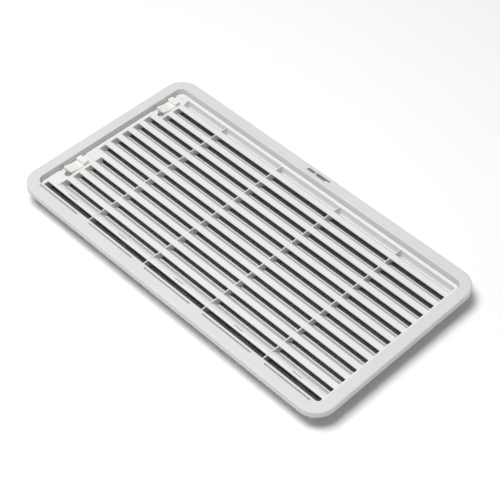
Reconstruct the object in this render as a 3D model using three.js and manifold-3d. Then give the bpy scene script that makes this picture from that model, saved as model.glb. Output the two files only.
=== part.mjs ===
// Ventilation grille for the outside wall beside a refrigerator: a flanged mounting frame and a
// louvred insert that is hooked in at one end and locked by two thumb slides at the other.
//
// Millimetres. The grille lies on its back: +Z points out of the louvred face, +X runs along the
// long side towards the hinge end, +Y towards the upper long side. The origin is under the middle
// of the flange, in the plane of the collar's rear edge.

import * as THREE from "three";
import { mergeVertices } from "three/addons/utils/BufferGeometryUtils.js";
import Module from "manifold-3d";

const wasm = await Module();
wasm.setup();

// ---------------------------------------------------------------- driving dimensions

const gap = 0.3; // between pieces that rest on or pass through each other

const flange = {
  length: 522,
  width: 288,
  height: 9, // proud of the wall
  cornerRadius: 28,
  edgeRadius: 2.3,
  skin: 2.2,
  endRim: 15.5, // opening to outer edge at the short sides
  topRim: 17,
  bottomRim: 18.8,
};

const collar = {
  depth: 22, // behind the wall's outside face
  wall: 1.8,
  cornerRadius: 10, // inside
  ledge: 4, // how far the seat stands in from the wall
  ledgeThickness: 2,
  fixingHole: 4.5,
  fixingHoleSpacing: 190, // along the long sides
};

const drain = { length: 80, width: 2, pitch: 101.5, endMargin: 10.5 };

const insert = {
  sink: 8.7, // louvred face below the flange's top face
  depth: 13,
  clearance: 0.5, // to the recess wall
  border: 5.4, // edge to slot field
  skin: 1.8,
  wall: 1.6,
};

const rib = { pitch: 101.7, thickness: 1.3 };

const louvre = {
  pitch: 19.42,
  face: 8.2,
  bladeThickness: 1.4,
  cover: 0.7, // how far the lip reaches behind the next louvre
  lip: 1.7,
  lipThickness: 1.2,
  start: 0.1, // below the face
  backGap: 0.3, // above the insert's back edge
  crispEdge: 0.3, // rounding between face and blade
  softEdge: 5, // the same on the lowest louvre
  leastBottomSlot: 5,
};

const drip = { length: 15, width: 0.9, rise: 3.6 }; // slits in the lowest louvre

const screen = { thickness: 0.8, ringThickness: 3, ringWidth: 6.5 };

const screw = { shaft: 1.8, head: 3.8, headHeight: 1.4, length: 8, bossWall: 1.1, bossHeight: 8 };

const lock = {
  length: 31,
  width: 15.4,
  travel: 7,
  blockLength: 8.5,
  blockRise: 3.5,
  neckLength: 7,
  neckRise: 0.7,
  thumbRise: 3.2,
  thumbTip: 1.4,
  thumbCorner: 4,
  edgeMargin: 0.1, // from the insert's edge
  keelShift: 1.2, // towards the slots from the slide's middle
  keelWidth: 5,
  keelLength: 8,
  footHeight: 1.2,
  footOverhang: 1.4,
};

const pocket = {
  length: 45,
  width: 19.5,
  depth: 1,
  topInset: 4.4, // below the top of the slot field, upper lock
  bottomInset: 29.5, // above the bottom of the slot field, lower lock
  margin: 3, // plain plate kept round the pocket
  thumbHole: 9.4,
  thumbHoleRise: 5.7,
  stopMargin: 0.7, // beyond the slide's travel
};

const clip = { thickness: 1.4, width: 9, length: 13 };

const tongue = { thickness: 1.5, length: 6.5, drop: 7.2, hook: 2, hookHeight: 1.7, start: 9 };

const keeper = { reach: 1.9, height: 2, yClearance: 0.2 };

const hingeTab = { width: 20, reach: 3, height: 3, drop: 2, spread: 160, swing: 1.6 };

const seal = { width: 6, compressedBy: 0.4 };

// ---------------------------------------------------------------- derived sizes

const wallPlane = collar.depth;
const flangeTop = wallPlane + flange.height;
const face = flangeTop - insert.sink;
const insertBack = face - insert.depth;

const opening = {
  length: flange.length - 2 * flange.endRim,
  width: flange.width - flange.topRim - flange.bottomRim,
};
const openingY = (flange.bottomRim - flange.topRim) / 2;

const panel = {
  length: opening.length - 2 * insert.clearance,
  width: opening.width - 2 * insert.clearance,
  cornerRadius: collar.cornerRadius - insert.clearance,
};
const field = {
  length: panel.length - 2 * insert.border,
  width: panel.width - 2 * insert.border,
};
const fieldTop = field.width / 2;
const fieldRight = field.length / 2;
const louvreCount = Math.floor((field.width - louvre.leastBottomSlot) / louvre.pitch);
const lowestLouvre = fieldTop - louvreCount * louvre.pitch;

const bladeRun = louvre.pitch - louvre.face + louvre.cover - louvre.lip;

const screenTop = insertBack - gap;
const ringTop = screenTop - screen.thickness - gap;
const ringBottom = ringTop - screen.ringThickness;
const ledgeTop = ringBottom - gap;
const ringLength = panel.length - 2 * gap;
const ringBand = panel.width - 2 * gap;

const pocketFloor = face - pocket.depth;
const padEdge = -panel.length / 2 + pocket.width;
const lockX = -panel.length / 2 + lock.edgeMargin + lock.width / 2;
const keelX = lockX + lock.keelShift;
const clipTop = pocketFloor - insert.skin - gap;
const footTop = clipTop - clip.thickness - gap;
const keeperTop = face - tongue.drop + tongue.hookHeight + gap + keeper.height;

// Lower end of each lock pocket, in the insert's own frame, whose middle is the opening's middle.
const pockets = [
  { name: "upper", low: fieldTop - pocket.topInset - pocket.length },
  { name: "lower", low: -fieldTop + pocket.bottomInset },
].map((place) => ({ ...place, high: place.low + pocket.length }));

// At rest a slide is drawn back from the pocket's high end by its travel, which frees the insert.
const slideStart = (place) => place.high - pocket.stopMargin - lock.travel - lock.length;

// ---------------------------------------------------------------- shape helpers

// Points are snapped to a thousandth, so that faces meant to be flush are exactly flush.
function solidOf(geometry) {
  geometry.deleteAttribute("normal");
  geometry.deleteAttribute("uv");
  const merged = mergeVertices(geometry, 1e-4);
  return new wasm.Manifold(
    new wasm.Mesh({
      numProp: 3,
      vertProperties: merged.attributes.position.array.map((v) => Math.round(v * 1000) / 1000),
      triVerts: new Uint32Array(merged.index.array),
    }),
  );
}

function box(x0, x1, y0, y1, z0, z1) {
  const geometry = new THREE.BoxGeometry(x1 - x0, y1 - y0, z1 - z0);
  geometry.translate((x0 + x1) / 2, (y0 + y1) / 2, (z0 + z1) / 2);
  return solidOf(geometry);
}

function upright(radius, x, y, z0, z1, sides = 16) {
  const geometry = new THREE.CylinderGeometry(radius, radius, z1 - z0, sides);
  geometry.rotateX(Math.PI / 2);
  geometry.translate(x, y, (z0 + z1) / 2);
  return solidOf(geometry);
}

function roundedOutline(x0, x1, y0, y1, radius) {
  const shape = new THREE.Shape();
  shape.absarc(x1 - radius, y1 - radius, radius, 0, Math.PI / 2);
  shape.absarc(x0 + radius, y1 - radius, radius, Math.PI / 2, Math.PI);
  shape.absarc(x0 + radius, y0 + radius, radius, Math.PI, 1.5 * Math.PI);
  shape.absarc(x1 - radius, y0 + radius, radius, 1.5 * Math.PI, 2 * Math.PI);
  return shape;
}

// Plate with round corners, centred on x = 0 and on centreY.
function plate(length, width, radius, z0, z1, centreY = 0, curveSegments = 8) {
  const half = width / 2;
  const shape = roundedOutline(-length / 2, length / 2, centreY - half, centreY + half, radius);
  const geometry = new THREE.ExtrudeGeometry(shape, {
    depth: z1 - z0,
    curveSegments,
    bevelEnabled: false,
  });
  geometry.translate(0, 0, z0);
  return solidOf(geometry);
}

// Ring of that outline, band wide, inside it.
function ring(length, width, radius, band, z0, z1, centreY = 0) {
  const inner = Math.max(radius - band, 0.5);
  const hole = plate(length - 2 * band, width - 2 * band, inner, z0 - 1, z1 + 1, centreY);
  return plate(length, width, radius, z0, z1, centreY).subtract(hole);
}

// A section drawn in Y and Z, run along X.
function alongX(shape, x0, x1) {
  const geometry = new THREE.ExtrudeGeometry(shape, {
    depth: x1 - x0,
    curveSegments: 6,
    bevelEnabled: false,
  });
  const toYZ = new THREE.Matrix4().makeBasis(
    new THREE.Vector3(0, 1, 0),
    new THREE.Vector3(0, 0, 1),
    new THREE.Vector3(1, 0, 0),
  );
  geometry.applyMatrix4(toYZ);
  geometry.translate(x0, 0, 0);
  return solidOf(geometry);
}

function sum(solids) {
  return solids.reduce((whole, solid) => whole.add(solid));
}

function cut(solid, tools) {
  return tools.reduce((rest, tool) => rest.subtract(tool), solid);
}

function meshOf(name, solid, material) {
  const { vertProperties, triVerts } = solid.getMesh();
  const geometry = new THREE.BufferGeometry();
  geometry.setAttribute("position", new THREE.BufferAttribute(vertProperties, 3));
  geometry.setIndex(new THREE.BufferAttribute(triVerts, 1));
  geometry.computeVertexNormals();
  const mesh = new THREE.Mesh(geometry, material);
  mesh.name = name;
  return mesh;
}

function finish(color, roughness, metalness = 0) {
  return new THREE.MeshStandardMaterial({ color, roughness, metalness });
}

// ---------------------------------------------------------------- mounting frame

// The flange's outer body: flat back, top edge rounded all round.
function flangeBody() {
  const { edgeRadius } = flange;
  const outline = roundedOutline(
    -flange.length / 2,
    flange.length / 2,
    -flange.width / 2,
    flange.width / 2,
    flange.cornerRadius,
  );
  const geometry = new THREE.ExtrudeGeometry(outline, {
    depth: flange.height,
    curveSegments: 12,
    bevelThickness: edgeRadius,
    bevelSize: edgeRadius,
    bevelOffset: -edgeRadius,
    bevelSegments: 3,
  });
  geometry.translate(0, 0, wallPlane - edgeRadius);
  const body = solidOf(geometry);
  const below = wallPlane - 4 * edgeRadius;
  return body.subtract(plate(flange.length + 10, flange.width + 10, 1, below, wallPlane));
}

function drainSlits() {
  const low = -flange.width / 2 + flange.bottomRim - collar.wall - drain.width;
  const reach = opening.length / 2 - drain.endMargin;
  const count = 2 * Math.floor((reach + drain.length / 2) / drain.pitch) + 1;
  const slits = [];
  for (let i = 0; i < count; i++) {
    const middle = (i - (count - 1) / 2) * drain.pitch;
    const x0 = Math.max(middle - drain.length / 2, -reach);
    const x1 = Math.min(middle + drain.length / 2, reach);
    slits.push(box(x0, x1, low, low + drain.width, wallPlane, flangeTop + 1));
  }
  return slits;
}

// Holes for the screws that hold the collar in the wall's cut-out, hidden behind the insert.
function fixingHoles() {
  const z = (insertBack + wallPlane) / 2;
  const radius = collar.fixingHole / 2;
  const across = new THREE.CylinderGeometry(radius, radius, flange.width, 12);
  const along = new THREE.CylinderGeometry(radius, radius, flange.length, 12);
  along.rotateZ(Math.PI / 2);
  along.translate(0, openingY, z);
  const holes = [solidOf(along)];
  for (const place of [-1, 0, 1]) {
    const hole = across.clone();
    hole.translate(place * collar.fixingHoleSpacing, openingY, z);
    holes.push(solidOf(hole));
  }
  return holes;
}

// Windows in the collar that the insert's hinge tabs hook into.
function hingeWindows() {
  const x0 = opening.length / 2 - 1;
  const top = face - hingeTab.drop + insert.clearance;
  const bottom = face - hingeTab.drop - hingeTab.height - hingeTab.swing;
  return [-1, 1].map((side) => {
    const y = openingY + (side * hingeTab.spread) / 2;
    const half = hingeTab.width / 2 + insert.clearance;
    return box(x0, x0 + 1 + collar.wall + 1, y - half, y + half, bottom, top);
  });
}

// Lugs on the recess wall; a slide's hooked tongue runs under its lug when it is locked.
function keepers() {
  return pockets.map((place) => {
    const y0 = openingY + slideStart(place) + tongue.start + lock.travel + keeper.yClearance;
    const y1 = y0 + tongue.length - 2 * keeper.yClearance;
    const wall = -opening.length / 2;
    const bottom = keeperTop - keeper.height;
    return box(wall - collar.wall / 2, wall + keeper.reach, y0, y1, bottom, keeperTop);
  });
}

function mountingFrame() {
  const { length, width } = opening;
  const { wall, cornerRadius } = collar;
  const outerRadius = cornerRadius + wall;
  const hollowLength = flange.length - 2 * flange.skin;
  const hollowWidth = flange.width - 2 * flange.skin;
  const hollowRadius = flange.cornerRadius - flange.skin;
  const hollow = plate(
    hollowLength,
    hollowWidth,
    hollowRadius,
    wallPlane - 1,
    flangeTop - flange.skin,
    0,
    12,
  );
  const tube = plate(
    length + 2 * wall,
    width + 2 * wall,
    outerRadius,
    0,
    flangeTop - flange.skin / 2,
    openingY,
  );
  const mouth = plate(length, width, cornerRadius, -1, flangeTop + 1, openingY);
  const ledge = ring(
    length + wall,
    width + wall,
    cornerRadius + wall / 2,
    collar.ledge + wall / 2,
    ledgeTop - collar.ledgeThickness,
    ledgeTop,
    openingY,
  );
  const shell = flangeBody().subtract(hollow).add(tube).subtract(mouth);
  const body = sum([shell, ledge, ...keepers()]);
  return cut(body, [...drainSlits(), ...fixingHoles(), ...hingeWindows()]);
}

// ---------------------------------------------------------------- louvred insert

// Louvre blade in Y and Z: it starts just under the face plate, slopes back and up, and ends in a
// small lip. A soft edge rounds the corner between face and blade.
function bladeSection(low, softEdge) {
  const top = low + louvre.face;
  const shelf = face - louvre.start;
  const lipBottom = insertBack + louvre.backGap;
  const lipTop = lipBottom + louvre.lipThickness;
  const drop = shelf - lipTop;
  const slope = Math.hypot(bladeRun, drop);
  const across = (louvre.bladeThickness * slope) / drop; // blade thickness measured along Y
  const perDrop = bladeRun / drop;
  const root = face - insert.skin + louvre.start; // the underside starts inside the face plate
  const shape = new THREE.Shape();
  shape.moveTo(top - softEdge - across, shelf);
  shape.lineTo(top - softEdge, shelf);
  shape.quadraticCurveTo(
    top,
    shelf,
    top + (softEdge * bladeRun) / slope,
    shelf - (softEdge * drop) / slope,
  );
  shape.lineTo(top + bladeRun, lipTop);
  shape.lineTo(top + bladeRun + louvre.lip, lipTop);
  shape.lineTo(top + bladeRun + louvre.lip, lipBottom);
  shape.lineTo(top + (shelf - lipBottom) * perDrop - across, lipBottom);
  shape.lineTo(top + (shelf - root) * perDrop - across, root);
  shape.lineTo(top - softEdge - across, root);
  shape.closePath();
  return shape;
}

const bladeSoftness = (i) => (i === 0 ? louvre.softEdge : louvre.crispEdge);

// One entry for each row of slots, from the bottom: its low and high side and where it starts.
function slotRows() {
  const rows = [{ low: -fieldTop, high: lowestLouvre }];
  for (let i = 0; i < louvreCount; i++) {
    const low = lowestLouvre + i * louvre.pitch;
    rows.push({ low: low + louvre.face - bladeSoftness(i), high: low + louvre.pitch });
  }
  return rows.map((row) => ({ ...row, start: besideLock(row) ? padEdge : -fieldRight }));
}

function besideLock(row) {
  return pockets.some((place) => nearPocket(row, place));
}

function nearPocket(row, place) {
  return row.high > place.low - pocket.margin && row.low < place.high + pocket.margin;
}

// Ribs run up the slot field, as many to each side of the middle as fit half a pitch apart.
function ribPlaces() {
  const places = [];
  for (let x = rib.pitch / 2; x < fieldRight - rib.pitch / 2; x += rib.pitch) {
    places.push(-x, x);
  }
  return places.sort((a, b) => a - b);
}

// The bays between the ribs, each with its left and right side.
function bays() {
  const sides = [-fieldRight, ...ribPlaces(), fieldRight];
  const half = rib.thickness / 2;
  return sides.slice(1).map((right, i) => ({
    left: i === 0 ? sides[i] : sides[i] + half,
    right: i === sides.length - 2 ? right : right - half,
  }));
}

const bayMiddles = () => bays().map((bay) => (bay.left + bay.right) / 2);

// Screws of the screen ring: one for each bay on the long sides, one in the middle of each end.
function screwPlaces() {
  const x = (field.length + panel.length) / 4;
  const y = (field.width + panel.width) / 4;
  const long = [1, -1].flatMap((side) => bayMiddles().map((middle) => [middle, side * y]));
  return [...long, [-x, 0], [x, 0]];
}

const screwHole = screw.shaft / 2 + gap;

function bosses() {
  const radius = screwHole + screw.bossWall;
  return screwPlaces().map(([x, y]) => upright(radius, x, y, insertBack - 2, face));
}

function pilotHoles() {
  const top = insertBack + screw.bossHeight;
  return screwPlaces().map(([x, y]) => upright(screwHole, x, y, insertBack - 1, top, 10));
}

// What is hollow behind the face plate: the bays, and the channel between slot field and skirt.
// Thicker plate stays under the lock pockets, and the slots beside them end at a wall of their own.
function hollows(rows) {
  const { wall } = insert;
  const below = insertBack - 1;
  const roof = face - insert.skin;
  const channel = ring(
    panel.length - 2 * wall,
    panel.width - 2 * wall,
    panel.cornerRadius - wall,
    insert.border - 2 * wall,
    below,
    roof,
  );
  const boxes = bays().map((bay) => box(bay.left, bay.right, -fieldTop, fieldTop, below, roof));
  const endWalls = pockets.map((place) => {
    const beside = rows.filter((row) => nearPocket(row, place));
    const low = Math.min(...beside.map((row) => row.low));
    const high = Math.max(...beside.map((row) => row.high));
    return box(padEdge - wall, padEdge, low - wall, high + wall, below - 1, face);
  });
  const floors = pockets.map((place) => {
    const floor = pocketFloor - insert.skin;
    return box(-panel.length / 2, padEdge - wall / 2, place.low - 1, place.high + 1, floor, face);
  });
  return cut(sum([channel, ...boxes]), [...bosses(), ...endWalls, ...floors]);
}

function slots(rows) {
  const below = face - insert.skin - 1;
  return rows.flatMap((row) =>
    bays().map((bay) =>
      box(Math.max(bay.left, row.start), bay.right, row.low, row.high, below, face + 1),
    ),
  );
}

function blades(rows) {
  const overlap = insert.wall / 2;
  return rows.slice(1).map((row, i) => {
    const section = bladeSection(lowestLouvre + i * louvre.pitch, bladeSoftness(i));
    return alongX(section, row.start - overlap, fieldRight + overlap);
  });
}

function dripSlits() {
  const low = lowestLouvre + drip.rise;
  const half = drip.length / 2;
  const below = face - insert.skin - 1;
  return bayMiddles().map((x) => box(x - half, x + half, low, low + drip.width, below, face + 1));
}

// A lock pocket: sunk floor, slot for the keel, thumb hole, and the notch in the insert's edge
// that the tongue reaches down through and the keeper passes when the insert is lifted.
function pocketCuts(place) {
  const edge = -panel.length / 2;
  const keelLow = slideStart(place) + lock.length - lock.blockLength - lock.neckLength - gap;
  const keelHigh = keelLow + lock.keelLength + lock.travel + 2 * gap;
  const halfKeel = lock.keelWidth / 2 + gap;
  const below = insertBack - 1;
  const underFloor = pocketFloor - insert.skin;
  const notchLow = face - tongue.drop - 2 * insert.clearance;
  const notchX = edge + lock.edgeMargin + tongue.hook + tongue.thickness + gap;
  const tongueHigh = slideStart(place) + tongue.start + tongue.length + lock.travel;
  const notchHigh = tongueHigh + 4 * insert.clearance;
  const fieldWall = -fieldRight - insert.wall;
  const holeX = lockX + lock.width / 4;
  const holeY = place.low + pocket.thumbHoleRise;
  return [
    box(edge - 1, padEdge, place.low, place.high, pocketFloor, face + 1),
    box(keelX - halfKeel, keelX + halfKeel, keelLow, keelHigh, below, face),
    box(fieldWall - gap, -fieldRight + gap, place.low, place.high, below, underFloor),
    upright(pocket.thumbHole / 2, holeX, holeY, below, face, 20),
    box(edge - 1, notchX, place.low, notchHigh, notchLow, face + 1),
  ];
}

function hingeTabs() {
  const x1 = panel.length / 2;
  const top = face - hingeTab.drop;
  return [-1, 1].map((side) => {
    const y = (side * hingeTab.spread) / 2;
    const half = hingeTab.width / 2;
    const reach = x1 + insert.clearance + hingeTab.reach;
    return box(x1 - insert.wall / 2, reach, y - half, y + half, top - hingeTab.height, top);
  });
}

function louvreInsert() {
  const rows = slotRows();
  const block = plate(panel.length, panel.width, panel.cornerRadius, insertBack, face);
  const tray = cut(block, [hollows(rows), ...slots(rows)]);
  const body = sum([tray, ...blades(rows), ...hingeTabs()]);
  return cut(body, [...pilotHoles(), ...dripSlits(), ...pockets.flatMap(pocketCuts)]);
}

// ---------------------------------------------------------------- insect screen and its ring

function insectScreen() {
  const { thickness } = screen;
  const sheet = plate(ringLength, ringBand, panel.cornerRadius, screenTop - thickness, screenTop);
  const holes = screwPlaces().map(([x, y]) =>
    upright(screwHole, x, y, screenTop - thickness - 1, screenTop + 1, 10),
  );
  return cut(sheet, holes);
}

function screenFrame() {
  const { ringWidth } = screen;
  const band = ring(ringLength, ringBand, panel.cornerRadius, ringWidth, ringBottom, ringTop);
  const counterbore = ringBottom + screw.headHeight + gap;
  const holes = screwPlaces().flatMap(([x, y]) => [
    upright(screwHole, x, y, ringBottom - 1, ringTop + 1, 10),
    upright(screw.head / 2 + gap, x, y, ringBottom - 1, counterbore, 16),
  ]);
  return cut(band, holes);
}

function screenScrew([x, y]) {
  const headTop = ringBottom + screw.headHeight;
  const head = upright(screw.head / 2, x, y, ringBottom, headTop);
  const shaft = upright(screw.shaft / 2, x, y, headTop - gap, ringBottom + screw.length, 10);
  const cross = 0.35 * screw.head;
  const arm = 0.5;
  return cut(head.add(shaft), [
    box(x - cross, x + cross, y - arm / 2, y + arm / 2, ringBottom - 1, ringBottom + arm),
    box(x - arm / 2, x + arm / 2, y - cross, y + cross, ringBottom - 1, ringBottom + arm),
  ]);
}

// ---------------------------------------------------------------- slide locks

// Side view of a slide in Y and Z: block, neck and a thumb piece that rises to its free end.
function slideSection(start) {
  const end = start + lock.length;
  const block = end - lock.blockLength;
  const neck = block - lock.neckLength;
  const sole = pocketFloor + gap;
  const tip = face + lock.thumbRise;
  const shape = new THREE.Shape();
  shape.moveTo(start + lock.thumbCorner, sole);
  shape.lineTo(end, sole);
  shape.lineTo(end, face + lock.blockRise - gap);
  shape.lineTo(end - gap, face + lock.blockRise);
  shape.lineTo(block + gap, face + lock.blockRise);
  shape.lineTo(block, face + lock.blockRise - gap);
  shape.lineTo(block, face + lock.neckRise);
  shape.lineTo(neck, face + lock.neckRise);
  shape.lineTo(start + lock.thumbTip, tip);
  shape.quadraticCurveTo(start, tip, start, tip - lock.thumbTip);
  shape.closePath();
  return shape;
}

function slideLock(place) {
  const start = slideStart(place);
  const end = start + lock.length;
  const x0 = lockX - lock.width / 2;
  const x1 = x0 + lock.width;
  const side = alongX(slideSection(start), x0, x1);
  const outline = roundedOutline(x0, x1, start, end + lock.thumbCorner, lock.thumbCorner);
  const plan = new THREE.ExtrudeGeometry(outline, { depth: 20, bevelEnabled: false });
  plan.translate(0, 0, face - 10);
  const keelLow = end - lock.blockLength - lock.neckLength;
  const keelHigh = keelLow + lock.keelLength;
  const sole = pocketFloor + gap;
  const halfKeel = lock.keelWidth / 2;
  const halfFoot = halfKeel + lock.footOverhang;
  const footBottom = footTop - lock.footHeight;
  const tongueLow = start + tongue.start;
  const tongueHigh = tongueLow + tongue.length;
  const hookBottom = face - tongue.drop;
  const legX = x0 + tongue.hook;
  return sum([
    side.intersect(solidOf(plan)),
    box(keelX - halfKeel, keelX + halfKeel, keelLow, keelHigh, footBottom, sole + gap),
    box(keelX - halfFoot, keelX + halfFoot, keelLow, keelHigh, footBottom, footTop),
    box(legX, legX + tongue.thickness, tongueLow, tongueHigh, hookBottom, sole + gap),
    box(x0, legX + 0.1, tongueLow, tongueHigh, hookBottom, hookBottom + tongue.hookHeight),
  ]);
}

// U-shaped clip pushed onto the keel from its high end, between the pocket floor and the foot.
function lockClip(place) {
  const keelLow = slideStart(place) + lock.length - lock.blockLength - lock.neckLength;
  const middle = keelLow + lock.keelLength / 2;
  const halfSlot = lock.keelWidth / 2 + gap;
  const low = middle - clip.length / 2;
  const high = middle + clip.length / 2;
  const bottom = clipTop - clip.thickness;
  const half = clip.width / 2;
  const body = box(keelX - half, keelX + half, low, high, bottom, clipTop);
  const slot = box(
    keelX - halfSlot,
    keelX + halfSlot,
    keelLow - gap,
    high + 1,
    bottom - 1,
    clipTop + 1,
  );
  return body.subtract(slot);
}

// ---------------------------------------------------------------- sealing strip

// Foam strip in the flange's hollow back, against its outer rim.
function sealingStrip() {
  const inset = flange.skin + gap;
  return ring(
    flange.length - 2 * inset,
    flange.width - 2 * inset,
    flange.cornerRadius - inset,
    seal.width,
    wallPlane + seal.compressedBy,
    flangeTop - flange.skin - gap,
  );
}

// ---------------------------------------------------------------- assembly

const whitePlastic = () => finish(0xdfe0e0, 0.5);
const grille = new THREE.Group();
const insertGroup = new THREE.Group();
insertGroup.position.y = openingY;
grille.add(insertGroup);

grille.add(meshOf("mounting_frame", mountingFrame(), whitePlastic()));
grille.add(meshOf("sealing_strip", sealingStrip(), finish(0x2b2c2e, 0.95)));

insertGroup.add(meshOf("louvre_insert", louvreInsert(), whitePlastic()));
insertGroup.add(meshOf("insect_screen", insectScreen(), finish(0x4c4c4a, 0.7)));
insertGroup.add(meshOf("screen_frame", screenFrame(), finish(0xc9c9c7, 0.6)));
screwPlaces().forEach((place, i) => {
  const name = "screen_screw_" + String(i + 1).padStart(2, "0");
  insertGroup.add(meshOf(name, screenScrew(place), finish(0xb4b6b8, 0.35, 1)));
});
for (const place of pockets) {
  insertGroup.add(meshOf("slide_lock_" + place.name, slideLock(place), finish(0xf0efe9, 0.4)));
  insertGroup.add(meshOf("lock_clip_" + place.name, lockClip(place), finish(0xb4b6b8, 0.35, 1)));
}

export default grille;
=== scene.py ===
import math

import bmesh
import bpy
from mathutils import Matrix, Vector


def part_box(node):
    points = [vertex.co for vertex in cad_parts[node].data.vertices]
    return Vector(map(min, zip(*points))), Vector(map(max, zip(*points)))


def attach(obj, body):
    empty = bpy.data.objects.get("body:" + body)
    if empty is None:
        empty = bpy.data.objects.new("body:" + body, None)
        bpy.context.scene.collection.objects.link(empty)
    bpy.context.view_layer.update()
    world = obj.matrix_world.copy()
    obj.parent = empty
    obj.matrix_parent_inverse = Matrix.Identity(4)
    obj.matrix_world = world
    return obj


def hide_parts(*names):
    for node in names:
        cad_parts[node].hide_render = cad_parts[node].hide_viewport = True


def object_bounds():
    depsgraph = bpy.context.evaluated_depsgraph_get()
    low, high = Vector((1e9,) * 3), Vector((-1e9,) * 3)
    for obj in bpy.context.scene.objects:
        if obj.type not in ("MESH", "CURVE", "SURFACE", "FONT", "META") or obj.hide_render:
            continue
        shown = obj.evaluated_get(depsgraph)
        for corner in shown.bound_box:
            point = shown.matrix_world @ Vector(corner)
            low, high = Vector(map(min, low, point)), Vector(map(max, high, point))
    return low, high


# Ventilation grille: a flanged mounting frame, a louvred insert with an insect screen behind it,
# and two thumb slides that lock the insert. Lengths are metres, written as millimetres times mm.

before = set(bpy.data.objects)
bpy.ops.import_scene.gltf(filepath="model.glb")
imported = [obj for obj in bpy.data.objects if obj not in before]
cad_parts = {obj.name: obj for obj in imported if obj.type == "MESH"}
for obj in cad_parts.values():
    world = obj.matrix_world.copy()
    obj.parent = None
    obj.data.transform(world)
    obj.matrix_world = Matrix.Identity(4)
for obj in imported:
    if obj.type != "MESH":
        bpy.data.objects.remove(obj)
cadLow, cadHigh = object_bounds()
mm = 0.001
print("frame loaded:", len(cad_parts), "nodes")


def millimetres(values):
    return {name: value * mm for name, value in values.items()}


# modelling helpers

def chooseOnly(*pieces):
    bpy.ops.object.select_all(action="DESELECT")
    for piece in pieces:
        piece.select_set(True)
    bpy.context.view_layer.objects.active = pieces[0]


def enterEdit(piece, kind):
    chooseOnly(piece)
    bpy.ops.object.mode_set(mode="EDIT")
    bpy.ops.mesh.select_mode(type=kind)


def leaveEdit():
    bpy.ops.object.mode_set(mode="OBJECT")


def pick(piece, kind, wanted):  # in edit mode: selects what wanted() says yes to
    bpy.ops.mesh.select_all(action="DESELECT")
    mesh = bmesh.from_edit_mesh(piece.data)
    parts = {"VERT": mesh.verts, "EDGE": mesh.edges, "FACE": mesh.faces}[kind]
    parts.index_update()
    for part in parts:
        if wanted(part):
            part.select_set(True)
    mesh.select_flush_mode()
    bmesh.update_edit_mesh(piece.data)


def snapPoints(piece):  # to a thousandth of a millimetre, so that flush faces are exactly flush
    for vertex in piece.data.vertices:
        vertex.co = [round(value, 6) for value in vertex.co]
    return piece


def applyPlace():
    bpy.ops.object.transform_apply(location=True, rotation=True, scale=True)
    return snapPoints(bpy.context.object)


def addBox(low, high):
    bpy.ops.object.select_all(action="DESELECT")
    middle = [(a + b) / 2 for a, b in zip(low, high)]
    size = [b - a for a, b in zip(low, high)]
    bpy.ops.mesh.primitive_cube_add(size=1, location=middle, scale=size)
    return applyPlace()


def addRod(radius, start, end, sides=24):  # along X, Y or Z, from start to end
    bpy.ops.object.select_all(action="DESELECT")
    start, end = Vector(start), Vector(end)
    turn = (end - start).to_track_quat("Z", "Y").to_euler()
    bpy.ops.mesh.primitive_cylinder_add(
        vertices=sides, radius=radius, depth=(end - start).length,
        location=(start + end) / 2, rotation=turn)
    return applyPlace()


def addOutline(low, high, z, radius, segments=14):  # flat round-cornered face
    bpy.ops.object.select_all(action="DESELECT")
    bpy.ops.mesh.primitive_plane_add(size=1, location=((low[0] + high[0]) / 2, (low[1] + high[1]) / 2, z))
    bpy.context.object.scale = (high[0] - low[0], high[1] - low[1], 1)
    outline = applyPlace()
    enterEdit(outline, "VERT")
    bpy.ops.mesh.select_all(action="SELECT")
    bpy.ops.mesh.bevel(offset=radius, segments=segments, affect="VERTICES")
    leaveEdit()
    return snapPoints(outline)


def extrudeFace(piece, move):
    enterEdit(piece, "FACE")
    bpy.ops.mesh.select_all(action="SELECT")
    bpy.ops.mesh.extrude_region_move(TRANSFORM_OT_translate={"value": move})
    bpy.ops.mesh.select_all(action="SELECT")
    bpy.ops.mesh.normals_make_consistent(inside=False)
    leaveEdit()
    return snapPoints(piece)


def addPlate(low, high, radius, segments=14):  # round-cornered plate between two corners
    return extrudeFace(addOutline(low, high, low[2], radius, segments), (0, 0, high[2] - low[2]))


def addSection(points, left, right, rounded=()):  # (y, z) section run along X, some corners rounded
    bpy.ops.object.select_all(action="DESELECT")
    bpy.ops.mesh.primitive_circle_add(vertices=len(points), fill_type="NGON")
    section = bpy.context.object
    for vertex, (y, z) in zip(section.data.vertices, points):
        vertex.co = (left, y, z)
    enterEdit(section, "VERT")
    for (y, z), radius, segments in rounded:
        corner = Vector((left, y, z))
        pick(section, "VERT", lambda vertex: (vertex.co - corner).length < 0.01 * mm)
        bpy.ops.mesh.bevel(offset=radius, segments=segments, affect="VERTICES")
    leaveEdit()
    return extrudeFace(section, (right - left, 0, 0))


def joinAs(name, pieces):
    chooseOnly(*pieces)
    if len(pieces) > 1:
        bpy.ops.object.join()
    joined = bpy.context.object
    joined.name = name
    joined.data.name = name
    return joined


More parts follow.
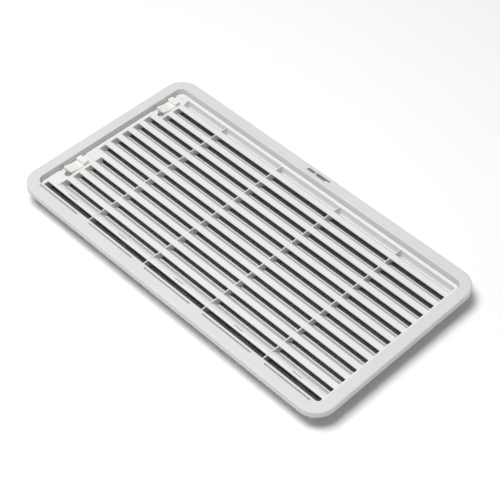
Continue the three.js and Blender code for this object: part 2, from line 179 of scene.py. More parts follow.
def bridgeOutlines(name, outlines, closed=True):  # skins a row of outlines, and back to the first
    count = len(outlines[0].data.vertices)
    apart = 50 * mm  # the outlines are stacked while they are bridged, so that none twists
    for number, outline in enumerate(outlines):
        enterEdit(outline, "FACE")
        bpy.ops.mesh.select_all(action="SELECT")
        bpy.ops.mesh.delete(type="ONLY_FACE")
        leaveEdit()
        outline.location.z = number * apart
        applyPlace()
    body = outlines[0]
    for outline in outlines[1:]:
        body = joinAs(name, [body, outline])
    enterEdit(body, "VERT")
    last = len(outlines) if closed else len(outlines) - 1
    for first in range(last):
        second = (first + 1) % len(outlines)
        pick(body, "VERT", lambda vertex: vertex.index // count in (first, second))
        bpy.ops.mesh.bridge_edge_loops()
    leaveEdit()
    for vertex in body.data.vertices:
        vertex.co.z -= vertex.index // count * apart
    snapPoints(body)
    enterEdit(body, "VERT")
    bpy.ops.mesh.select_all(action="SELECT")
    bpy.ops.mesh.normals_make_consistent(inside=False)
    leaveEdit()
    return body


def combine(piece, tools, operation):
    tool = joinAs("tool", tools)
    chooseOnly(piece)
    change = piece.modifiers.new("combine", "BOOLEAN")
    change.operation = operation
    change.solver = "EXACT"
    change.use_self = True  # the tools may cross one another
    change.object = tool
    bpy.ops.object.modifier_apply(modifier=change.name)
    bpy.data.objects.remove(tool)
    return piece


def cutAway(piece, tools):
    return combine(piece, tools, "DIFFERENCE")


def addOn(piece, tools):
    return combine(piece, tools, "UNION")


def cleanMesh(piece):
    enterEdit(piece, "VERT")
    bpy.ops.mesh.select_all(action="SELECT")
    bpy.ops.mesh.remove_doubles(threshold=0.002 * mm)
    bpy.ops.mesh.dissolve_degenerate(threshold=0.002 * mm)
    bpy.ops.mesh.vert_connect_concave()
    leaveEdit()


def softenEdges(piece, width, segments=2, sharperThan=40):
    cleanMesh(piece)
    chooseOnly(piece)
    bevel = piece.modifiers.new("softEdges", "BEVEL")
    bevel.width = width
    bevel.segments = segments
    bevel.limit_method = "ANGLE"
    bevel.angle_limit = math.radians(sharperThan)
    bevel.use_clamp_overlap = False
    bpy.ops.object.modifier_apply(modifier=bevel.name)
    shadeSmooth(piece, sharperThan)
    return piece


def shadeSmooth(piece, sharperThan=40):
    chooseOnly(piece)
    bpy.ops.object.shade_smooth_by_angle(angle=math.radians(sharperThan))
    flat = piece.modifiers.new("flatFaces", "WEIGHTED_NORMAL")
    flat.keep_sharp = True
    bpy.ops.object.modifier_apply(modifier=flat.name)
    return piece


def copyPiece(piece, name, shift=(0, 0, 0)):
    chooseOnly(piece)
    bpy.ops.object.duplicate()
    copy = bpy.context.object
    copy.name = name
    copy.data.name = name
    copy.location = shift
    applyPlace()
    return copy


# materials

class Graph:  # adds nodes to a material and links them
    def __init__(self, name):
        self.material = bpy.data.materials.new(name)
        self.material.use_nodes = True
        self.nodes = self.material.node_tree.nodes
        self.links = self.material.node_tree.links
        self.shader = self.nodes["Principled BSDF"]
        self.place = self.add("ShaderNodeTexCoord").outputs["Object"]

    def add(self, kind, **settings):
        node = self.nodes.new(kind)
        for name, value in settings.items():
            setattr(node, name, value)
        return node

    def link(self, source, target):
        self.links.new(source, target)

    def stretch(self, scale):  # object place, stretched along its axes
        mapping = self.add("ShaderNodeMapping")
        mapping.inputs["Scale"].default_value = scale
        self.link(self.place, mapping.inputs["Vector"])
        return mapping.outputs["Vector"]

    def noise(self, size, detail=2.0, place=None):  # size of one blotch, in metres
        node = self.add("ShaderNodeTexNoise")
        node.inputs["Scale"].default_value = 1 / size
        node.inputs["Detail"].default_value = detail
        self.link(place or self.place, node.inputs["Vector"])
        return node.outputs["Fac"]

    def spread(self, value, low, high, fromLow=0.3, fromHigh=0.7):
        node = self.add("ShaderNodeMapRange")
        node.inputs["From Min"].default_value = fromLow
        node.inputs["From Max"].default_value = fromHigh
        node.inputs["To Min"].default_value = low
        node.inputs["To Max"].default_value = high
        self.link(value, node.inputs["Value"])
        return node.outputs["Result"]

    def blend(self, amount, first, second):  # colours, or sockets that carry them
        node = self.add("ShaderNodeMix", data_type="RGBA")
        self.link(amount, node.inputs["Factor"])
        for name, colour in (("A", first), ("B", second)):
            socket = next(s for s in node.inputs if s.name == name and s.type == "RGBA")
            if isinstance(colour, tuple):
                socket.default_value = (*colour, 1)
            else:
                self.link(colour, socket)
        return next(s for s in node.outputs if s.type == "RGBA")

    def edges(self, radius):  # 1 on worn edges, 0 on flat faces
        rounded = self.add("ShaderNodeBevel", samples=4)
        rounded.inputs["Radius"].default_value = radius
        flat = self.add("ShaderNodeNewGeometry")
        match = self.add("ShaderNodeVectorMath", operation="DOT_PRODUCT")
        self.link(rounded.outputs["Normal"], match.inputs[0])
        self.link(flat.outputs["Normal"], match.inputs[1])
        return self.spread(match.outputs["Value"], 1, 0, 0.8, 0.98)

    def times(self, first, second):
        node = self.add("ShaderNodeMath", operation="MULTIPLY")
        for socket, value in zip(node.inputs, (first, second)):
            if isinstance(value, (int, float)):
                socket.default_value = value
            else:
                self.link(value, socket)
        return node.outputs["Value"]

    def bumps(self, layers):  # (height, strength, depth in metres) laid over one another
        normal = None
        for height, strength, depth in layers:
            bump = self.add("ShaderNodeBump")
            bump.inputs["Strength"].default_value = strength
            bump.inputs["Distance"].default_value = depth
            self.link(height, bump.inputs["Height"])
            if normal:
                self.link(normal, bump.inputs["Normal"])
            normal = bump.outputs["Normal"]
        self.link(normal, self.shader.inputs["Normal"])

    def colour(self, socket):
        self.link(socket, self.shader.inputs["Base Color"])

    def roughness(self, socket):
        self.link(socket, self.shader.inputs["Roughness"])


grainLook = {
    "flowStretch": (0.12, 1, 1), "mottleStrength": 0.25, "mottleDepth": 0.12 * mm,
    "grainDepth": 0.03 * mm, "ior": 1.49, "glowRadius": (1.2, 1.0, 0.8), "glowScale": 1.5 * mm}


def mouldedPlastic(name, look):  # fine spark-eroded grain, faint flow marks, handled edges
    graph = Graph(name)
    mottle = graph.noise(look["mottle"], 4)
    flow = graph.noise(look["mottle"], 3, graph.stretch(grainLook["flowStretch"]))
    grain = graph.noise(look["grain"], 3)
    base = graph.blend(graph.spread(mottle, 0, 1), look["shade"], look["light"])
    worn = graph.times(graph.edges(look["edge"]), graph.spread(mottle, 0.1, look["wear"]))
    graph.colour(graph.blend(worn, base, look["wornColour"]))
    graph.roughness(graph.spread(flow, *look["roughness"]))
    graph.bumps([
        (mottle, grainLook["mottleStrength"], grainLook["mottleDepth"]),
        (grain, look["grainStrength"], grainLook["grainDepth"])])
    graph.shader.inputs["IOR"].default_value = grainLook["ior"]
    if look.get("glow"):
        graph.shader.inputs["Subsurface Weight"].default_value = look["glow"]
        graph.shader.inputs["Subsurface Radius"].default_value = grainLook["glowRadius"]
        graph.shader.inputs["Subsurface Scale"].default_value = grainLook["glowScale"]
    return graph.material


def zincSteel(name, look):  # bright zinc: fine drawn lines, cloudy patches
    graph = Graph(name)
    cloud = graph.noise(look["cloud"], 4)
    lines = graph.noise(look["line"], 2, graph.stretch((1, 0.08, 1)))
    base = graph.blend(graph.spread(cloud, 0, 1), look["shade"], look["light"])
    graph.colour(graph.blend(graph.times(graph.edges(look["edge"]), 0.5), base, look["wornColour"]))
    graph.roughness(graph.spread(cloud, *look["roughness"]))
    graph.bumps([(lines, 0.3, 0.02 * mm)])
    graph.shader.inputs["Metallic"].default_value = 1
    return graph.material


def cellularRubber(name, look):  # open pores of two sizes, each pore's centre darkened with painted shade
    graph = Graph(name)
    pores = graph.add("ShaderNodeTexVoronoi")
    pores.inputs["Scale"].default_value = 1 / look["pore"]
    graph.link(graph.place, pores.inputs["Vector"])
    dust = graph.noise(look["dust"], 4)
    base = graph.blend(graph.spread(dust, 0, 1), look["shade"], look["light"])
    depth = pores.outputs["Distance"]
    # painted shade: the colour darkens towards each pore's centre, where shade falls inside the hollow
    graph.colour(graph.blend(graph.spread(depth, 0.6, 0, 0, 0.4), base, look["paintedPoreShade"]))
    graph.roughness(graph.spread(dust, *look["roughness"]))
    smallPores = graph.noise(look["pore"] / 3, 2)
    graph.bumps([(depth, 0.6, 0.3 * mm), (smallPores, 0.4, 0.1 * mm)])
    return graph.material


finishes = {
    "framePlastic": mouldedPlastic("framePlastic", {
        "light": (0.68, 0.683, 0.69), "shade": (0.655, 0.659, 0.665), "wornColour": (0.73, 0.73, 0.725),
        "mottle": 45 * mm, "grain": 0.45 * mm, "grainStrength": 0.22, "edge": 0.5 * mm, "wear": 0.5,
        "roughness": (0.42, 0.56)}),
    "insertPlastic": mouldedPlastic("insertPlastic", {
        "light": (0.765, 0.765, 0.758), "shade": (0.74, 0.742, 0.735), "wornColour": (0.8, 0.8, 0.79),
        "mottle": 38 * mm, "grain": 0.4 * mm, "grainStrength": 0.18, "edge": 0.4 * mm, "wear": 0.5,
        "roughness": (0.38, 0.52)}),
    "slidePlastic": mouldedPlastic("slidePlastic", {
        "light": (0.83, 0.825, 0.80), "shade": (0.79, 0.782, 0.75), "wornColour": (0.86, 0.855, 0.83),
        "mottle": 6 * mm, "grain": 0.3 * mm, "grainStrength": 0.1, "edge": 0.4 * mm, "wear": 0.5,
        "roughness": (0.28, 0.4), "glow": 0.2}),
    "ringPlastic": mouldedPlastic("ringPlastic", {
        "light": (0.56, 0.56, 0.55), "shade": (0.5, 0.5, 0.495), "wornColour": (0.64, 0.64, 0.63),
        "mottle": 30 * mm, "grain": 0.5 * mm, "grainStrength": 0.3, "edge": 0.4 * mm, "wear": 0.5,
        "roughness": (0.5, 0.65)}),
    "screenPlastic": mouldedPlastic("screenPlastic", {
        "light": (0.17, 0.17, 0.16), "shade": (0.11, 0.11, 0.104), "wornColour": (0.28, 0.28, 0.27),
        "mottle": 12 * mm, "grain": 0.5 * mm, "grainStrength": 0.3, "edge": 0.2 * mm, "wear": 0.4,
        "roughness": (0.5, 0.7)}),
    "zincSteel": zincSteel("zincSteel", {
        "light": (0.62, 0.63, 0.64), "shade": (0.47, 0.48, 0.5), "wornColour": (0.75, 0.75, 0.74),
        "cloud": 1.2 * mm, "line": 0.15 * mm, "edge": 0.15 * mm, "roughness": (0.24, 0.42)}),
    "cellularRubber": cellularRubber("cellularRubber", {
        "light": (0.04, 0.041, 0.043), "shade": (0.02, 0.021, 0.022), "paintedPoreShade": (0.006, 0.006, 0.006),
        "pore": 0.7 * mm, "dust": 9 * mm, "roughness": (0.82, 0.96)}),
    "printInk": mouldedPlastic("printInk", {
        "light": (0.03, 0.03, 0.032), "shade": (0.02, 0.02, 0.022), "wornColour": (0.12, 0.12, 0.12),
        "mottle": 2 * mm, "grain": 0.3 * mm, "grainStrength": 0.15, "edge": 0.05 * mm, "wear": 0.3,
        "roughness": (0.35, 0.5)}),
}
print("materials made:", len(finishes))


def finishPiece(piece, finish, body, nodes):
    piece.data.materials.clear()
    piece.data.materials.append(finishes[finish])
    for face in piece.data.polygons:
        face.material_index = 0
    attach(piece, body)
    if nodes:
        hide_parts(*nodes)
    print("made", piece.name, "with", len(piece.data.polygons), "faces")


# the places that several pieces share, read from the frame

outerLow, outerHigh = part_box("mounting_frame")
panelLow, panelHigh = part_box("louvre_insert")
stripLow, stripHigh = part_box("sealing_strip")
screenLow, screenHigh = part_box("insect_screen")
ringLow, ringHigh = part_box("screen_frame")
panelHigh.x = -panelLow.x  # without the hinge tabs
panelMiddle = (panelLow.y + panelHigh.y) / 2
faceZ = panelHigh.z
backZ = panelLow.z
flangeTop = outerHigh.z


def grown(low, high, by):  # a rectangle, larger or smaller all round
    return (low[0] - by, low[1] - by), (high[0] + by, high[1] + by)


# mounting frame

frameSizes = millimetres({
    "flangeHeight": 9, "flangeRadius": 28, "edgeRadius": 2.3, "skin": 2.2,
    "openingClearance": 0.5, "openingRadius": 10, "lipRadius": 0.7,
    "wall": 1.8, "ledge": 4, "ledgeTop": 4.6, "ledgeThickness": 2,
    "fixingHole": 4.5, "fixingSpacing": 190,
    "slitLength": 80, "slitWidth": 2, "slitPitch": 101.5, "slitReach": 235,
    "windowWidth": 21, "windowLow": 15.7, "windowHigh": 20.8, "windowSpread": 160,
    "lugReach": 1.9, "lugLength": 6.1, "lugLow": 17.1, "lugHigh": 19.1, "lugFromSlide": 16.2,
    "softEdge": 0.3})
mouthLow, mouthHigh = grown(panelLow, panelHigh, frameSizes["openingClearance"])


def frameOutlines():
    s = frameSizes
    wallZ = flangeTop - s["flangeHeight"]
    ceiling = flangeTop - s["skin"]
    steps = 5

    def flangeLoop(inset, z):
        return addOutline(*grown(outerLow, outerHigh, -inset), z, s["flangeRadius"] - inset)

    def mouthLoop(outset, z):
        return addOutline(*grown(mouthLow, mouthHigh, outset), z, s["openingRadius"] + outset)

    loops = [flangeLoop(0, wallZ)]
    for step in range(steps + 1):  # the flange's rounded outer edge
        turn = math.radians(90) * step / steps
        r = s["edgeRadius"]
        loops.append(flangeLoop(r * (1 - math.cos(turn)), flangeTop - r + r * math.sin(turn)))
    for step in range(steps + 1):  # the small rounding into the recess
        turn = math.radians(90) * step / steps
        r = s["lipRadius"]
        loops.append(mouthLoop(r * (1 - math.sin(turn)), flangeTop - r + r * math.cos(turn)))
    loops += [mouthLoop(0, s["ledgeTop"]), mouthLoop(-s["ledge"], s["ledgeTop"])]
    ledgeLow = s["ledgeTop"] - s["ledgeThickness"]
    loops += [mouthLoop(-s["ledge"], ledgeLow), mouthLoop(0, ledgeLow), mouthLoop(0, outerLow.z)]
    loops += [mouthLoop(s["wall"], outerLow.z), mouthLoop(s["wall"], ceiling)]
    loops += [flangeLoop(s["skin"], ceiling), flangeLoop(s["skin"], wallZ)]
    return loops


def drainSlits():  # slots with round ends, through the lower flange just outside the collar
    s = frameSizes
    y1 = mouthLow[1] - s["wall"]
    y0 = y1 - s["slitWidth"]
    tools = []
    for number in range(-2, 3):
        x0 = max(number * s["slitPitch"] - s["slitLength"] / 2, -s["slitReach"])
        x1 = min(number * s["slitPitch"] + s["slitLength"] / 2, s["slitReach"])
        low = (x0, y0, flangeTop - s["flangeHeight"])
        tools.append(addPlate(low, (x1, y1, flangeTop + mm), 0.45 * s["slitWidth"], 4))
    return tools


def fixingHoles():
    s = frameSizes
    z = (backZ + flangeTop - s["flangeHeight"]) / 2
    radius = s["fixingHole"] / 2
    beyond = 5 * mm
    holes = [addRod(radius, (mouthLow[0] - beyond, panelMiddle, z), (mouthHigh[0] + beyond, panelMiddle, z))]
    for side in (-1, 0, 1):
        x = side * s["fixingSpacing"]
        holes.append(addRod(radius, (x, mouthLow[1] - beyond, z), (x, mouthHigh[1] + beyond, z)))
    return holes


def hingeWindows():
    s = frameSizes
    half = s["windowWidth"] / 2
    tools = []
    for side in (-1, 1):
        y = panelMiddle + side * s["windowSpread"] / 2
        low = (mouthHigh[0] - mm, y - half, s["windowLow"])
        high = (mouthHigh[0] + s["wall"] + mm, y + half, s["windowHigh"])
        tools.append(addBox(low, high))
    return tools


def keeperLugs():
    s = frameSizes
    x0 = mouthLow[0] - s["wall"] / 2
    lugs = []
    for name in ("upper", "lower"):
        y0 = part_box("slide_lock_" + name)[0].y + s["lugFromSlide"]
        low = (x0, y0, s["lugLow"])
        lugs.append(addBox(low, (mouthLow[0] + s["lugReach"], y0 + s["lugLength"], s["lugHigh"])))
    return lugs


def makeMountingFrame():
    piece = bridgeOutlines("mountingFrame", frameOutlines())
    addOn(piece, keeperLugs())
    cutAway(piece, [*drainSlits(), *fixingHoles(), *hingeWindows()])
    softenEdges(piece, frameSizes["softEdge"])
    finishPiece(piece, "framePlastic", "frame", ["mounting_frame"])


# louvred insert

insertSizes = millimetres({
    "cornerRadius": 9.5, "skin": 1.8, "wall": 1.6, "border": 5.4,
    "ribPitch": 101.7, "ribThickness": 1.3, "louvrePitch": 19.42, "louvreFace": 8.2,
    "bladeThickness": 1.4, "cover": 0.7, "lip": 1.7, "lipThickness": 1.2, "backGap": 0.3,
    "fillet": 0.8, "softCorner": 5, "spare": 1, "leastBottomSlot": 5,
    "pocketLength": 45, "pocketWidth": 19.5, "pocketDepth": 1.5, "pocketMargin": 3,
    "upperPocketInset": 4.4, "lowerPocketInset": 29.5, "thumbHole": 9.4, "thumbHoleRise": 5.7,
    "thumbHoleDepth": 11, "thumbCupWall": 1.2,
    "notchDrop": 8.2, "notchWidth": 3.9, "notchStart": 7.5, "notchEnd": 24.5,
    "keelSlotLow": 15.2, "keelSlotHigh": 31.1, "keelHalf": 2.8, "keelShift": 1.2,
    "slitLength": 15, "slitWidth": 0.9, "slitRise": 3.6,
    "bossRadius": 2.3, "pilotRadius": 1.2, "pilotDepth": 8,
    "tabWidth": 20, "tabReach": 3.5, "tabHeight": 3, "tabDrop": 2, "tabSpread": 160,
    "wallPast": 0.3, "slotPast": 3, "trimPast": 5, "softEdge": 0.22})
thumbHoleAcross = 0.75  # share of the slide's width
fieldLow, fieldHigh = grown(panelLow, panelHigh, -insertSizes["border"])
padEdge = panelLow.x + insertSizes["pocketWidth"]
pocketFloor = faceZ - insertSizes["pocketDepth"]
slideBoxes = {name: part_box("slide_lock_" + name) for name in ("upper", "lower")}
screwNodes = sorted(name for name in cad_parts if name.startswith("screen_screw"))
screwPlaces = [sum(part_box(name), Vector()) / 2 for name in screwNodes]


def pocketRows():  # the low and high end of each lock pocket along Y
    s = insertSizes
    upperLow = fieldHigh[1] - s["upperPocketInset"] - s["pocketLength"]
    lowerLow = fieldLow[1] + s["lowerPocketInset"]
    lows = {"upper": upperLow, "lower": lowerLow}
    return {name: (low, low + s["pocketLength"]) for name, low in lows.items()}


def bays():  # left and right side of each bay between the ribs
    s = insertSizes
    ribs = [s["ribPitch"] * step for step in (-1.5, -0.5, 0.5, 1.5)]
    half = s["ribThickness"] / 2
    lefts = [fieldLow[0]] + [x + half for x in ribs]
    rights = [x - half for x in ribs] + [fieldHigh[0]]
    return list(zip(lefts, rights))


def louvreTops():  # the upper edge of each louvre's face, from the lowest louvre
    s = insertSizes
    count = int((fieldHigh[1] - fieldLow[1] - s["leastBottomSlot"]) / s["louvrePitch"])
    lowest = fieldHigh[1] - count * s["louvrePitch"] + s["louvreFace"]
    return [lowest + number * s["louvrePitch"] for number in range(count)]


def besideLock(low, high):
    margin = insertSizes["pocketMargin"]
    return any(high > start - margin and low < end + margin for start, end in pocketRows().values())


def slotStart(low, high):  # the slots beside a lock start at the pocket's edge
    return padEdge if besideLock(low, high) else fieldLow[0]


def slotRows():  # low, high and the side where it starts, from the bottom
    s = insertSizes
    tops = louvreTops()
    rows = [(fieldLow[1], tops[0] - s["louvreFace"])]
    rows += [(top, top + s["louvrePitch"] - s["louvreFace"]) for top in tops]
    return [(low, high, slotStart(low, high)) for low, high in rows]


def slopeSizes():
    s = insertSizes
    run = s["louvrePitch"] - s["louvreFace"] + s["cover"] - s["lip"]
    lipTop = backZ + s["backGap"] + s["lipThickness"]
    drop = faceZ - lipTop
    across = s["bladeThickness"] * math.hypot(run, drop) / drop
    return run, run / drop, lipTop, across


def addBlade(top, start, soft):
    s = insertSizes
    run, perDrop, lipTop, across = slopeSizes()
    lipBottom = backZ + s["backGap"]
    tip = top + run + s["lip"]
    under = top + perDrop * (faceZ - lipBottom) - across
    rear = [(top + run, lipTop), (tip, lipTop), (tip, lipBottom), (under, lipBottom)]
    rounded = [(rear[0], s["fillet"], 4), (rear[3], s["fillet"], 4)]
    if soft:
        edge = top - s["softCorner"] - across
        inner = (top - across + perDrop * s["skin"], faceZ - s["skin"])
        points = [(edge, faceZ), (top, faceZ), *rear, inner, (edge, faceZ - s["skin"])]
        rounded += [((top, faceZ), s["softCorner"], 12), (inner, 0.8 * s["softCorner"], 10)]
    else:
        above = top - perDrop * s["spare"]
        z = faceZ + s["spare"]
        points = [(above - across, z), (above, z), *rear]
    overlap = s["wall"] / 2
    return addSection(points, start - overlap, fieldHigh[0] + overlap, rounded)


def thumbHolePlace(name):
    s = insertSizes
    low, high = slideBoxes[name]
    return low.x + thumbHoleAcross * (high.x - low.x), pocketRows()[name][0] + s["thumbHoleRise"]


def hollowBehind():  # what is open behind the face: the bays and the channel inside the skirt
    s = insertSizes
    low = backZ - mm
    roof = faceZ - s["skin"]
    outer = grown(panelLow, panelHigh, -s["wall"])
    inner = grown(panelLow, panelHigh, s["wall"] - s["border"])
    radius = s["cornerRadius"] - s["wall"]
    innerRadius = s["cornerRadius"] + s["wall"] - s["border"]
    channel = bridgeOutlines("channel", [
        addOutline(*outer, low, radius), addOutline(*outer, roof, radius),
        addOutline(*inner, roof, innerRadius), addOutline(*inner, low, innerRadius)])
    boxes = [addBox((left, fieldLow[1], low), (right, fieldHigh[1], roof)) for left, right in bays()]
    hollow = joinAs("hollow", [channel, *boxes])
    bosses = [addRod(s["bossRadius"], (p.x, p.y, low - mm), (p.x, p.y, faceZ), 28) for p in screwPlaces]
    cupRadius = s["thumbHole"] / 2 + s["thumbCupWall"]
    cupLow = faceZ - s["thumbHoleDepth"] - s["thumbCupWall"]
    holes = [thumbHolePlace(name) for name in slideBoxes]
    cups = [addRod(cupRadius, (x, y, cupLow), (x, y, faceZ), 40) for x, y in holes]
    floor = pocketFloor - s["skin"]
    floors = [
        addBox((panelLow.x - mm, start - mm, floor), (padEdge - s["wall"] / 2, end + mm, faceZ))
        for start, end in pocketRows().values()]
    return cutAway(hollow, [*bosses, *pocketEndWalls(low - mm), *cups, *floors])


def pocketEndWalls(low):  # closes the shortened slots towards the pockets
    s = insertSizes
    walls = []
    for start, end in pocketRows().values():
        margin = s["pocketMargin"]
        beside = [row for row in slotRows() if row[1] > start - margin and row[0] < end + margin]
        y0 = min(row[0] for row in beside) - s["wall"]
        y1 = max(row[1] for row in beside) + s["wall"]
        walls.append(addBox((padEdge - s["wall"], y0, low), (padEdge, y1, faceZ)))
    return walls


def slotTools():
    s = insertSizes
    across = slopeSizes()[3]
    tools = []
    for number, (low, high, start) in enumerate(slotRows()):
        if number:
            low -= across / 2 + (s["softCorner"] if number == 1 else 0)
        for left, right in bays():
            corner = (max(left, start), low, faceZ - s["skin"] - mm)
            tools.append(addBox(corner, (right, high, faceZ + s["slotPast"])))
    return tools


def dripSlits():
    s = insertSizes
    y = louvreTops()[0] - s["louvreFace"] + s["slitRise"]
    tools = []
    for left, right in bays():
        x0 = (left + right - s["slitLength"]) / 2
        low = (x0, y, faceZ - s["skin"] - mm)
        high = (x0 + s["slitLength"], y + s["slitWidth"], faceZ + mm)
        tools.append(addPlate(low, high, 0.4 * s["slitWidth"], 3))
    return tools


def hingeTabs():
    s = insertSizes
    tabs = []
    for side in (-1, 1):
        y = panelMiddle + side * s["tabSpread"] / 2
        low = (panelHigh.x - s["wall"] / 2, y - s["tabWidth"] / 2, faceZ - s["tabDrop"] - s["tabHeight"])
        tabs.append(addBox(low, (panelHigh.x + s["tabReach"], y + s["tabWidth"] / 2, faceZ - s["tabDrop"])))
    return tabs


def pocketTools(name):  # the pocket, and the openings in it for the slide's keel and tongue
    s = insertSizes
    start, end = pocketRows()[name]
    slideLow, slideHigh = slideBoxes[name]
    slideMiddle = (slideLow.x + slideHigh.x) / 2
    keelX = slideMiddle + s["keelShift"]
    holeX, holeY = thumbHolePlace(name)
    holeFloor = faceZ - s["thumbHoleDepth"]
    below = backZ - mm
    above = faceZ + mm
    fieldWall = fieldLow[0] - s["wall"]
    keelLow = (keelX - s["keelHalf"], slideLow.y + s["keelSlotLow"], below)
    wallLow = (fieldWall - s["wallPast"], start, below)
    notchLow = (panelLow.x - mm, slideLow.y + s["notchStart"], faceZ - s["notchDrop"])
    return [
        addBox((panelLow.x - mm, start, pocketFloor), (padEdge, end, above)),
        addBox(keelLow, (keelX + s["keelHalf"], slideLow.y + s["keelSlotHigh"], above)),
        addBox(wallLow, (fieldLow[0] + s["wallPast"], end, pocketFloor - s["skin"])),
        addRod(s["thumbHole"] / 2, (holeX, holeY, holeFloor), (holeX, holeY, above), 40),
        addBox(notchLow, (panelLow.x + s["notchWidth"], slideLow.y + s["notchEnd"], above))]


def makeLouvredInsert():
    s = insertSizes
    rows = slotRows()
    tops = louvreTops()
    high = (panelHigh.x, panelHigh.y, faceZ + s["spare"])
    piece = addPlate(panelLow, high, s["cornerRadius"])
    cutAway(piece, [hollowBehind()])
    cutAway(piece, slotTools())
    addOn(piece, [addBlade(top, row[2], False) for top, row in zip(tops[1:], rows[2:])])
    over = grown(panelLow, panelHigh, s["trimPast"])
    cutAway(piece, [addBox((*over[0], faceZ), (*over[1], faceZ + s["trimPast"]))])
    addOn(piece, [addBlade(tops[0], rows[1][2], True), *hingeTabs()])
    pilotTop = backZ + s["pilotDepth"]
    pilots = [addRod(s["pilotRadius"], (p.x, p.y, backZ - mm), (p.x, p.y, pilotTop), 16) for p in screwPlaces]
    cutAway(piece, [*pocketTools("upper"), *pocketTools("lower"), *dripSlits(), *pilots])
    joinAs("louvredInsert", [piece])
    softenEdges(piece, s["softEdge"])
    finishPiece(piece, "insertPlastic", "insert", ["louvre_insert"])


# insect screen and the ring that holds it

screenSizes = millimetres({
    "band": 6.5, "cornerRadius": 9.5, "pitch": 3.2, "barWidth": 1.5, "barHeight": 0.66, "barOffset": 0.03,
    "barEdge": 0.2, "holeRadius": 1.2, "softEdge": 0.12})


def barRow(low, high, step, count):
    first = softenEdges(addBox(low, high), screenSizes["barEdge"], 1)
    row = first.modifiers.new("row", "ARRAY")
    row.count = count
    row.use_relative_offset = False
    row.use_constant_offset = True
    row.constant_offset_displace = step
    bpy.ops.object.modifier_apply(modifier=row.name)
    return first


def makeInsectScreen():
    s = screenSizes
    inner = grown(screenLow, screenHigh, -s["band"])
    radius = s["cornerRadius"]
    innerRadius = radius - s["band"]
    band = bridgeOutlines("insectScreen", [
        addOutline(screenLow, screenHigh, screenLow.z, radius),
        addOutline(screenLow, screenHigh, screenHigh.z, radius),
        addOutline(*inner, screenHigh.z, innerRadius), addOutline(*inner, screenLow.z, innerRadius)])
    below, above = screenLow.z - mm, screenHigh.z + mm
    cutAway(band, [addRod(s["holeRadius"], (p.x, p.y, below), (p.x, p.y, above), 16) for p in screwPlaces])
    softenEdges(band, s["softEdge"])
    z = (screenLow.z + screenHigh.z) / 2
    reach = 0.5 * mm  # the bars end inside the band
    x0, x1 = inner[0][0] - reach, inner[1][0] + reach
    y0, y1 = inner[0][1] - reach, inner[1][1] + reach
    acrossCount = int((y1 - y0) / s["pitch"])
    alongCount = int((x1 - x0) / s["pitch"])
    firstY = (y0 + y1 - (acrossCount - 1) * s["pitch"]) / 2
    firstX = (x0 + x1 - (alongCount - 1) * s["pitch"]) / 2
    half, rise = s["barWidth"] / 2, s["barHeight"] / 2
    low, high = z - s["barOffset"], z + s["barOffset"]
    longBars = barRow(
        (x0, firstY - half, low - rise), (x1, firstY + half, low + rise), (0, s["pitch"], 0), acrossCount)
    shortBars = barRow(
        (firstX - half, y0, high - rise), (firstX + half, y1, high + rise), (s["pitch"], 0, 0), alongCount)
    piece = joinAs("insectScreen", [band, longBars, shortBars])
    finishPiece(piece, "screenPlastic", "insert", ["insect_screen"])


ringSizes = millimetres({
    "band": 6.5, "cornerRadius": 9.5, "holeRadius": 1.2, "counterbore": 2.2, "counterboreDepth": 1.7,
    "softEdge": 0.3})


def makeScreenRing():
    s = ringSizes
    inner = grown(ringLow, ringHigh, -s["band"])
    innerRadius = s["cornerRadius"] - s["band"]
    piece = bridgeOutlines("screenRing", [
        addOutline(ringLow, ringHigh, ringLow.z, s["cornerRadius"]),
        addOutline(ringLow, ringHigh, ringHigh.z, s["cornerRadius"]),
        addOutline(*inner, ringHigh.z, innerRadius), addOutline(*inner, ringLow.z, innerRadius)])
    below, above = ringLow.z - mm, ringHigh.z + mm
    step = ringLow.z + s["counterboreDepth"]
    cutAway(piece, [addRod(s["holeRadius"], (p.x, p.y, below), (p.x, p.y, above), 16) for p in screwPlaces])
    cutAway(piece, [addRod(s["counterbore"], (p.x, p.y, below), (p.x, p.y, step), 24) for p in screwPlaces])
    softenEdges(piece, s["softEdge"])
    finishPiece(piece, "ringPlastic", "insert", ["screen_frame"])


# screws

screwSizes = millimetres({
    "head": 1.9, "headHeight": 1.4, "core": 0.62, "crest": 0.9, "pitch": 0.8, "length": 8,
    "recessArm": 1.15, "recessWidth": 0.55, "recessDepth": 0.8})


def screwProfile():  # radius and height above the head's outer face, from axis to tip
    s = screwSizes
    head, top = s["head"], s["headHeight"]
    points = [(0, 0), (0.6 * head, 0), (0.86 * head, 0.08 * top), (0.97 * head, 0.3 * top)]
    points += [(head, 0.55 * top), (head, 0.85 * top), (0.93 * head, top), (s["core"], top)]
    z = top + 0.3 * s["pitch"]
    while z + s["pitch"] < s["length"] - s["pitch"]:
        points += [(s["core"], z), (s["crest"], z + 0.3 * s["pitch"])]
        points += [(s["crest"], z + 0.42 * s["pitch"]), (s["core"], z + 0.72 * s["pitch"])]
        z += s["pitch"]
    return points + [(0.4 * s["core"], s["length"] - 0.2 * mm), (0, s["length"])]


